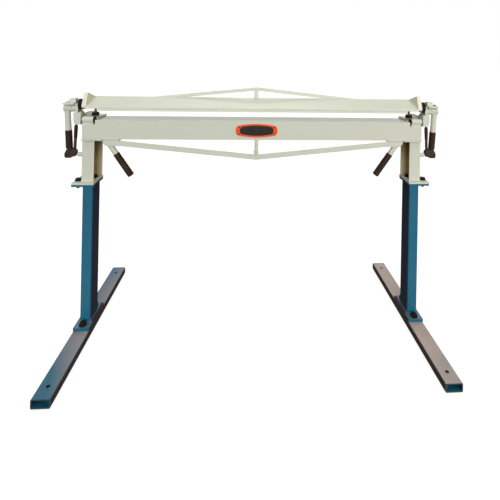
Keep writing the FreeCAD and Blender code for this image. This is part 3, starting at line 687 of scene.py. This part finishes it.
def paint_beside_post(bm):
    """Gives the strip of a base plate beside and behind its post the third paint, a painted shadow of
    the post.
    """
    sliced(bm, (-POST_INNER, 0, 0), (1, 0, 0))
    sliced(bm, (POST_INNER, 0, 0), (1, 0, 0))
    sliced(bm, (0, -POST_FRONT, 0), (0, 1, 0))
    for face in bm.faces:
        middle = face.calc_center_median()
        if face.normal.z > 0.5 and abs(middle.x) < POST_INNER and middle.y > -POST_FRONT:
            face.material_index = 2


# What is done to a node by the start of its name; a look is one more paint on it
STEPS = (
    ("clamp_leaf", grind_nose, None),
    ("latch_bracket", trim_catch, None),
    ("head_channel", paint_channel, CHANNEL_SHADE_CREAM),
    ("post", paint_near_side, POST_SIDE_SHADE_BLUE),
    ("foot", paint_near_side, FOOT_SIDE_SHADE_BLUE),
    ("base_plate", paint_near_side, FOOT_SIDE_SHADE_BLUE),
    ("base_plate", paint_beside_post, POST_SHADOW_BLUE),
)


def softened_node(name, edge):
    """A CAD node's shape with its own cuts, its paints and rounded edges."""
    bm = node_mesh(name)
    looks = [LOOK_OF.get(name, MATERIALS[SLOT_OF[name]])]
    for start, change, look in STEPS:
        if name.startswith(start):
            change(bm)
            looks += [look] if look else []
    soften(bm, edge)
    new_piece(name + "_softened", bm, BODY_OF[name], SLOT_OF[name], (name,), looks)


PLATE_NODES = (
    *both("base_plate"), *both("lower_joint_plate"), *both("upper_joint_plate"),
    *both("head_channel"), *both("top_plate"), "bed_beam", "bed_plate", *both("lug_plate"),
    *both("side_bracket"), "apron_plate", *both("hinge_barrel"), *both("apron_lug"),
    *both("apron_truss"), "apron_strut", "clamp_leaf", "nose_bar", *both("end_plate"),
    *both("clamp_truss"), "clamp_strut", *both("stop_plate"), *both("clamp_lever"),
)
THIN_NODES = (
    *both("foot"), *both("post"), "guide_bushes", "hinge_pins", "keeper_pins", "guide_pins",
    *both("cam_shaft"), *both("handle_tube"), "nameplate_rivets", *both("lever_grip"),
)
CAST_NODES = (*both("latch_bracket"), *both("trigger"))


# Bolts and turned fittings

def short_block(bm, sides, radius, height, place, chamfer):
    """An upright many-sided block that stands on its place, its rims turned down."""
    made = bmesh.ops.create_cone(
        bm, cap_ends=True, segments=sides, radius1=radius, radius2=radius,
        depth=height, matrix=Matrix.Translation(place + Vector((0, 0, height / 2))),
    )
    rims = [
        line for line in {edge for vert in made["verts"] for edge in vert.link_edges}
        if abs(line.verts[0].co.z - line.verts[1].co.z) < height / 4
    ]
    rounded(bm, rims, chamfer)


def hex_block(bm, flats, height, place):
    short_block(bm, 6, flats / math.sqrt(3), height, place, flats * 0.06)


def washer(bm, radius, height, place):
    short_block(bm, 32, radius, height, place, height * 0.25)


def turned(bm, profile, turn, steps=24):
    """Spins a closed profile of (radius, height) pairs about Z and puts it in place."""
    points = [bm.verts.new((radius, 0, height)) for radius, height in profile]
    lines = [bm.edges.new((first, second)) for first, second in zip(points, points[1:])]
    bmesh.ops.spin(
        bm, geom=points + lines, cent=(0, 0, 0), axis=(0, 0, 1), angle=math.tau,
        steps=steps, use_merge=True, use_duplicate=False,
    )
    bmesh.ops.remove_doubles(bm, verts=bm.verts[:], dist=MERGE_DISTANCE)
    bmesh.ops.recalc_face_normals(bm, faces=bm.faces[:])
    bmesh.ops.transform(bm, matrix=turn, verts=bm.verts[:])


def threaded_shank(diameter, low, high, x, y):
    """Bolt shank whose lowest turns stand out of its nut."""
    bm = bmesh.new()
    radius = diameter / 2
    inset, rise = SHANK_TIP
    end = low - THREAD_TURNS * THREAD_PITCH
    profile = [(0, end), (radius - inset, end), (radius, end + rise)]
    for turn in range(THREAD_TURNS):
        base = end + rise + turn * THREAD_PITCH
        profile += [
            (radius - THREAD_DEPTH, base + THREAD_PITCH * 0.5), (radius, base + THREAD_PITCH * 0.9)
        ]
    profile += [(radius, high), (0, high)]
    turned(bm, profile, Matrix.Translation((x, y, 0)))
    return bm


def through_bolts(name, node, places, diameter, flats, low, high):
    """Head and washer on top, nut and thread end below, for every bolt of a joint."""
    bm = bmesh.new()
    head = flats * HEAD_SHARE
    for x, y in places:
        for side in (-1, 1):
            seat = Vector((side * x, y, high))
            washer(bm, flats * WASHER_SHARE / 2, WASHER_THICKNESS, seat)
            hex_block(bm, flats, head, seat + Vector((0, 0, WASHER_THICKNESS)))
            hex_block(bm, flats, head, Vector((side * x, y, low - head)))
            merge_into(bm, threaded_shank(diameter, low - head, high, side * x, y))
    new_piece(name, bm, BODY_OF[node], SLOT_OF[node], (node,))


def stop_screws():
    """Small screw on each stop plate, painted over on the left."""
    for (side, sign), paint in zip(SIDES, ("cream_paint", "black_steel")):
        bm = bmesh.new()
        seat = Vector((sign * STOP_SCREW[0], SHAFT.y, STOP_SCREW[1]))
        washer(bm, place=seat, **STOP_WASHER)
        hex_block(bm, place=seat + Vector((0, 0, STOP_WASHER["height"])), **STOP_HEAD)
        new_piece("lever_" + side + "_stop_screw", bm, "lever_" + side, paint)


def pin_collars():
    """Black collar that keeps each hinge pin in its barrel."""
    middle = middle_of("hinge_pins")
    for side, sign in SIDES:
        inner = inner_and_outer("hinge_barrel_" + side, sign)[0]
        place = Matrix.Translation((inner, middle.y, middle.z))
        bm = bmesh.new()
        turned(bm, COLLAR_PROFILE, place @ Matrix.Rotation(-sign * math.pi / 2, 4, "Y"), 32)
        new_piece("hinge_pin_collar_" + side, bm, "stand", "black_steel")


def catch_fittings(label, spot, profile, steps, slot):
    """One turned shape on the front and the rear cheek of each catch."""
    for side, sign in SIDES:
        lowest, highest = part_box("latch_bracket_" + side)
        bm = bmesh.new()
        for end, face in ((-1, lowest[1]), (1, highest[1])):
            shape = bmesh.new()
            place = Matrix.Translation((sign * spot[0], face, spot[1]))
            turned(shape, profile, place @ Matrix.Rotation(-end * math.pi / 2, 4, "X"), steps)
            merge_into(bm, shape)
        new_piece(label + side, bm, "lever_" + side, slot)


def trigger_sleeves():
    """Rubber sleeve on the upper half of each trigger's bar."""
    for side, sign in SIDES:
        foot = Vector((sign * TRIGGER_FOOT[0], SHAFT.y, TRIGGER_FOOT[1]))
        tip = Vector((sign * TRIGGER_TIP[0], SHAFT.y, TRIGGER_TIP[1]))
        run = (tip - foot).normalized()
        bm = bmesh.new()
        turned(bm, SLEEVE_PROFILE, Matrix.Translation(tip - run * SLEEVE_REACH) @ turned_to(run), 32)
        new_piece("trigger_sleeve_" + side, bm, BODY_OF["trigger_" + side], "black_grip")


# Welds

def weld(bm, start, end):
    """A row of ripples along one straight joint."""
    start = Vector(start)
    run = Vector(end) - start
    steps = max(2, round(run.length / BEAD_PITCH))
    first = bmesh.ops.create_circle(
        bm, cap_ends=True, segments=8, radius=BEAD_RADIUS * BEAD_TAPER,
        matrix=Matrix.Translation(start) @ turned_to(run),
    )["verts"]
    rim = {line for vert in first for line in vert.link_edges}
    middle = start.copy()
    step = run / steps
    size = BEAD_TAPER
    for count in range(1, steps + 1):
        grown = bmesh.ops.extrude_edge_only(bm, edges=list(rim))["geom"]
        points = [item for item in grown if isinstance(item, bmesh.types.BMVert)]
        rim = {item for item in grown if isinstance(item, bmesh.types.BMEdge)}
        bmesh.ops.translate(bm, vec=step, verts=points)
        middle += step
        wanted = BEAD_TAPER if count == steps else BEAD_SWELLS[count % 2]
        share = wanted / size
        size = wanted
        bmesh.ops.scale(
            bm, vec=(share, share, share), space=Matrix.Translation(-middle), verts=points
        )
    bmesh.ops.edgeloop_fill(bm, edges=list(rim))


def weld_round(bm, corners):
    for first, second in zip(corners, corners[1:]):
        weld(bm, first, second)


def finish_welds(name, bm, body, slot):
    bmesh.ops.recalc_face_normals(bm, faces=bm.faces[:])
    new_piece(name, bm, body, slot)


def stand_welds():
    """Beads round both ends of each post."""
    for side, _ in SIDES:
        bm = bmesh.new()
        (x0, y0, bottom), (x1, y1, top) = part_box("post_" + side)
        for z in (bottom, top):
            weld_round(bm, [(x0, y0, z), (x1, y0, z), (x1, y1, z), (x0, y1, z), (x0, y0, z)])
        finish_welds("post_welds_" + side, bm, "stand", "blue_paint")


def head_welds():
    """Beads round each channel's foot, along its top plate and where the side plate meets it."""
    for side, sign in SIDES:
        bm = bmesh.new()
        (_, front, bottom), (_, back, top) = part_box("head_channel_" + side)
        mouth, face = inner_and_outer("head_channel_" + side, sign)
        end = inner_and_outer("top_plate_" + side, sign)[1] + sign * TOP_PLATE_PROUD
        weld_round(bm, [
            (mouth, front, bottom), (face, front, bottom), (face, back, bottom), (mouth, back, bottom)
        ])
        weld(bm, (mouth, front, top), (end, front, top))
        weld(bm, (end, front + BEAD_INSET, top), (end, back - BEAD_INSET, top))
        weld(bm, (mouth, back, top), (end, back, top))
        weld(bm, *((sign * SIDE_PLATE_X, y, BED_TOP - SIDE_PLATE_DROP) for y in SIDE_PLATE_RUN))
        finish_welds("head_welds_" + side, bm, "stand", "cream_paint")


def beam_welds():
    """Beads on the clamp beam, inside each end plate and at each outer end of its truss."""
    bm = bmesh.new()
    (_, front, _), (_, back, top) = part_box("clamp_leaf")
    leaf_front = (front + LEAF_FRONT_INSET[0], top - LEAF_FRONT_INSET[1])
    leaf_back = (back - LEAF_BACK_INSET[0], top - LEAF_BACK_INSET[1])
    for side, sign in SIDES:
        x = inner_and_outer("end_plate_" + side, sign)[0]
        weld(bm, (x, *leaf_front), (x, *leaf_back))
        _, y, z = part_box("clamp_truss_" + side)[0]
        x = inner_and_outer("clamp_truss_" + side, sign)[1]
        weld(bm, (x, y, z + BEAD_INSET), (x, y, z + TRUSS_END_HEIGHT))
        weld(bm, (x, y, z), (x - sign * TRUSS_RUN, y, z + TRUSS_RISE))
    finish_welds("beam_welds", bm, "clamp_beam", "cream_paint")


def apron_welds():
    """Beads on both sides of each apron lug and under each hinge barrel."""
    bm = bmesh.new()
    for side, _ in SIDES:
        (x0, y, _), (x1, _, z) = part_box("apron_lug_" + side)
        weld(bm, (x0, y, z), (x1, y, z))
        weld(bm, (x0, y + LUG_DEPTH, z), (x1, y + LUG_DEPTH, z))
        (x0, y, z), (x1, _, _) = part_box("hinge_barrel_" + side)
        weld(bm, (x0 + BEAD_INSET, y + BARREL_INSET, z), (x1 - BEAD_INSET, y + BARREL_INSET, z))
    finish_welds("apron_welds", bm, "apron", "cream_paint")


# Grips and badge

def grip_profile(radius, bore, length):
    """Open mouth with a lip, a shallow groove near the end and a domed tip."""
    return [
        (bore, 0), (radius - 0.0008, 0), (radius, 0.0008), (radius, 0.0045),
        (radius - 0.0009, 0.0060), (radius - 0.0006, length * 0.3), (radius - 0.0006, length * 0.7),
        (radius - 0.0003, length - 0.016), (radius - 0.0014, length - 0.0145),
        (radius - 0.0003, length - 0.013), (radius - 0.0004, length - 0.005),
        (radius - 0.0018, length - 0.0018), (radius - 0.0052, length - 0.0003), (0, length),
    ]


def handle_grips():
    """Moulded grip on each of the apron's handles."""
    profile = grip_profile(GRIP_RADIUS, GRIP_BORE, GRIP_LENGTH)
    for side, sign in SIDES:
        node = "handle_grip_" + side
        run = Vector((-sign * math.sin(HANDLE_LEAN), 0, -math.cos(HANDLE_LEAN)))
        mouth = middle_of(node) - run * GRIP_LENGTH / 2
        bm = bmesh.new()
        turned(bm, profile, Matrix.Translation(mouth) @ turned_to(run), 40)
        new_piece(node + "_moulded", bm, "apron", "black_grip", (node,))


def badge():
    """Orange rim round a sunken black field."""
    lowest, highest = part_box("nameplate")
    width, height = highest[0] - lowest[0], highest[2] - lowest[2]
    middle = middle_of("nameplate")
    bm = node_mesh("nameplate")
    front = min(bm.faces, key=lambda face: face.normal.y)
    for end, rim, depth in ((BADGE_END, BADGE_RIM, 0.0), (BADGE_STEP, BADGE_STEP, BADGE_STEP)):
        bmesh.ops.inset_individual(bm, faces=[front], thickness=0.0)
        share = Vector((1 - 2 * end / width, 1, 1 - 2 * rim / height))
        bmesh.ops.scale(bm, vec=share, space=Matrix.Translation(-middle), verts=front.verts[:])
        bmesh.ops.translate(bm, vec=(0, depth, 0), verts=front.verts[:])
        front.material_index = 1
    new_piece("badge_plate", bm, "apron", "badge", ("nameplate",), (MATERIALS["badge"], BADGE_FIELD))


# Floor, light and camera

def seen_ray(tree):
    """1 for the eye's own rays and for mirrored and refracted ones, 0 for soft light."""
    path = tree.nodes.new("ShaderNodeLightPath")
    seen = math_of(tree, "MAXIMUM", path.outputs["Is Camera Ray"], path.outputs["Is Glossy Ray"])
    return math_of(tree, "MAXIMUM", seen, path.outputs["Is Transmission Ray"])


def shown_and_felt(tree, end, shown, felt):
    """Gives the eye one shader and the soft light another."""
    mixed = add(tree, "ShaderNodeMixShader", {0: seen_ray(tree), 1: felt, 2: shown})
    tree.links.new(mixed.outputs[0], tree.nodes.new(end).inputs["Surface"])


def studio_floor():
    """White to the eye, pale brown to the soft light that it sends up."""
    bm = bmesh.new()
    bmesh.ops.create_grid(bm, x_segments=1, y_segments=1, size=FLOOR_REACH)
    mesh = bpy.data.meshes.new("floor")
    bm.to_mesh(mesh)
    bm.free()
    floor = bpy.data.objects.new("floor", mesh)
    bpy.context.scene.collection.objects.link(floor)
    floor.location.z = FLOOR_HEIGHT
    material = bpy.data.materials.new("pale floor")
    material.use_nodes = True
    tree = material.node_tree
    tree.nodes.clear()
    speckle = noise(tree, object_place(tree), 3.0, 3)
    brown = mix_colour(tree, speckle, (0.15, 0.115, 0.075), (0.17, 0.13, 0.085))
    matt = add(tree, "ShaderNodeBsdfDiffuse", {"Color": brown})
    white = add(tree, "ShaderNodeBsdfDiffuse", {"Color": (0.40, 0.40, 0.40)})
    glow = add(tree, "ShaderNodeEmission", {"Color": (1, 1, 1), "Strength": 0.78})
    bright = add(tree, "ShaderNodeAddShader", {0: white.outputs[0], 1: glow.outputs[0]})
    shown_and_felt(tree, "ShaderNodeOutputMaterial", bright.outputs[0], matt.outputs[0])
    floor.data.materials.append(material)


def studio_world():
    """White behind the object, a dim warm room around it for its soft light."""
    world = bpy.data.worlds.new("studio")
    bpy.context.scene.world = world
    world.use_nodes = True
    tree = world.node_tree
    tree.nodes.clear()
    towards = axes(tree, tree.nodes.new("ShaderNodeTexCoord").outputs["Generated"])
    height = ramp(tree, towards["Z"], -0.1, 0.8)
    warm = mix_colour(tree, height, (0.10, 0.068, 0.036), (0.50, 0.44, 0.34))
    room = add(tree, "ShaderNodeBackground", {"Color": warm, "Strength": 1.0})
    white = add(tree, "ShaderNodeBackground", {"Color": (1, 1, 1), "Strength": 1.0})
    shown_and_felt(tree, "ShaderNodeOutputWorld", white.outputs[0], room.outputs[0])


def lamp_facing(lamp, place, direction):
    """Puts a lamp in its place; it shines against the direction."""
    light = bpy.data.objects.new(lamp.name, lamp)
    light.location = place
    light.rotation_euler = direction.to_track_quat("Z", "Y").to_euler()
    bpy.context.scene.collection.objects.link(light)


def soft_sun(name, towards, strength, spread):
    """Distant soft light; towards points from the object to the light."""
    lamp = bpy.data.lights.new(name, "SUN")
    lamp.energy = strength
    lamp.angle = math.radians(spread)
    lamp_facing(lamp, Vector(towards).normalized() * 4, Vector(towards))


def softbox(name, place, target, size, power, tint=(1, 1, 1)):
    """Rectangular soft light."""
    lamp = bpy.data.lights.new(name, "AREA")
    lamp.shape = "RECTANGLE"
    lamp.size, lamp.size_y = size
    lamp.energy = power
    lamp.color = tint
    lamp_facing(lamp, place, Vector(place) - Vector(target))


def photo_camera():
    """Camera without tilt, turned a little right and rolled, its frame shifted down to the stand."""
    turn = math.radians(-CAMERA_TURN)
    roll = math.radians(CAMERA_ROLL)
    ahead = Vector((math.sin(turn), math.cos(turn), 0))
    right = Vector((math.cos(turn), -math.sin(turn), 0))
    up = Vector((0, 0, 1))
    rolled_right = right * math.cos(roll) + up * math.sin(roll)
    rolled_up = up * math.cos(roll) - right * math.sin(roll)
    data = bpy.data.cameras.new("photograph")
    data.sensor_width = SENSOR_WIDTH
    data.lens = SENSOR_WIDTH * FOCAL_PIXELS / FRAME_PIXELS
    data.shift_x = (FRAME_PIXELS / 2 - AXIS_PIXEL[0]) / FRAME_PIXELS
    data.shift_y = (AXIS_PIXEL[1] - FRAME_PIXELS / 2) / FRAME_PIXELS
    camera = bpy.data.objects.new("photograph", data)
    camera.matrix_world = Matrix.Translation(CAMERA_PLACE) @ Matrix(
        (rolled_right, rolled_up, -ahead)
    ).transposed().to_4x4()
    bpy.context.scene.collection.objects.link(camera)
    bpy.context.scene.camera = camera


photo_camera()
for nodes, edge in ((PLATE_NODES, PLATE_EDGE), (THIN_NODES, THIN_EDGE), (CAST_NODES, CAST_EDGE)):
    for name in nodes:
        softened_node(name, edge)
through_bolts("base_bolts_cut", "base_bolts", BASE_BOLT_PLACES, **BASE_BOLT)
through_bolts("joint_bolts_cut", "joint_bolts", JOINT_BOLT_PLACES, **JOINT_BOLT)
stop_screws()
pin_collars()
catch_fittings("catch_pin_", CATCH_PIN, PIN_END_PROFILE, 24, "black_steel")
catch_fittings("catch_boss_", CATCH_BOSS, BOSS_PROFILE, 40, SLOT_OF["latch_bracket_left"])
trigger_sleeves()
stand_welds()
head_welds()
beam_welds()
apron_welds()
handle_grips()
badge()
studio_floor()
soft_sun("key", towards=(-0.06, -0.45, 0.9), strength=0.2, spread=50)
soft_sun("front", towards=(0.0, -0.98, 0.2), strength=2.16, spread=32)
soft_sun("back fill", towards=(0.0, 0.62, 0.78), strength=0.9, spread=30)
softbox(
    "right front", place=(1.7, -1.5, 0.75), target=(0.65, 0, 0.35), size=(0.6, 0.9),
    power=6.0, tint=(1.0, 0.80, 0.66),
)
softbox("overhead", place=(0.0, -0.15, 2.15), target=(0, -0.05, 0), size=(3.2, 0.7), power=4.4)
studio_world()
bpy.context.scene.view_settings.view_transform = "Standard"
